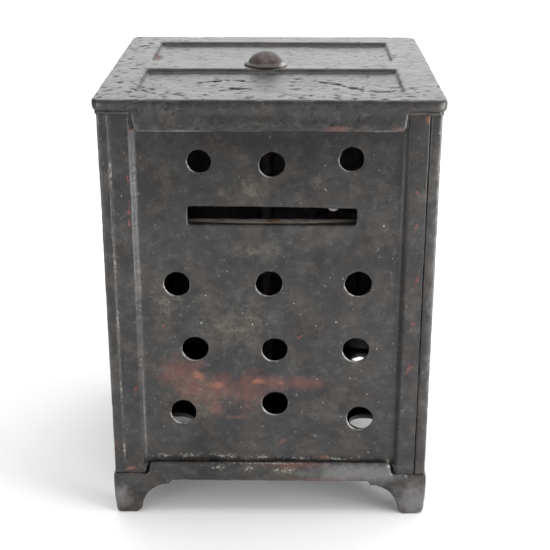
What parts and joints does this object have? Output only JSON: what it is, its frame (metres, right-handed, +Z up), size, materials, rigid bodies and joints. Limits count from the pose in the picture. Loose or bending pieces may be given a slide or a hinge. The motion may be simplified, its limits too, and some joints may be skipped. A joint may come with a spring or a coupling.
{
  "type": "still bank",
  "caption": "Cast iron coin bank shaped like a small safe, with a slotted and perforated back, bracket feet, a domed tie bolt and a latched door.",
  "frame": {"origin": "on the resting plane, under the middle of the case", "axes": "+Z up, -Y faces the wall with the coin slot, +Y faces the door"},
  "size_m": [0.078, 0.078, 0.1082],
  "materials": {
    "painted_iron": "worn black paint over cast iron",
    "bolt_iron": "worn, reddish brown",
    "plain_steel": "dull, lightly rusted",
    "latch_iron": "dark, unpainted"
  },
  "bodies": {
    "case": {"base": "painted_iron", "top_plate": "painted_iron", "coin_plate": "painted_iron", "left_side_plate": "painted_iron", "right_side_plate": "painted_iron", "front_frame": "painted_iron", "tie_bolt": "bolt_iron", "tie_bolt_washer": "plain_steel", "tie_bolt_nut": "bolt_iron", "upper_hinge_pin": "plain_steel", "lower_hinge_pin": "plain_steel"},
    "door": {"door": "painted_iron", "latch_stop_pin": "plain_steel", "latch_washer": "plain_steel"},
    "latch": {"lock_barrel": "latch_iron", "latch_bar": "latch_iron"}
  },
  "joints": [
    {"name": "door_hinge", "type": "hinge", "parent": "case", "child": "door", "pos_m": [-0.0262, 0.0375, 0.0559], "axis": [0, 0, 1], "range_deg": [0, 105]},
    {"name": "latch_turn", "type": "hinge", "parent": "door", "child": "latch", "pos_m": [0.0171, 0.0345, 0.0576], "axis": [0, 1, 0], "range_deg": [0, 60]}
  ]
}
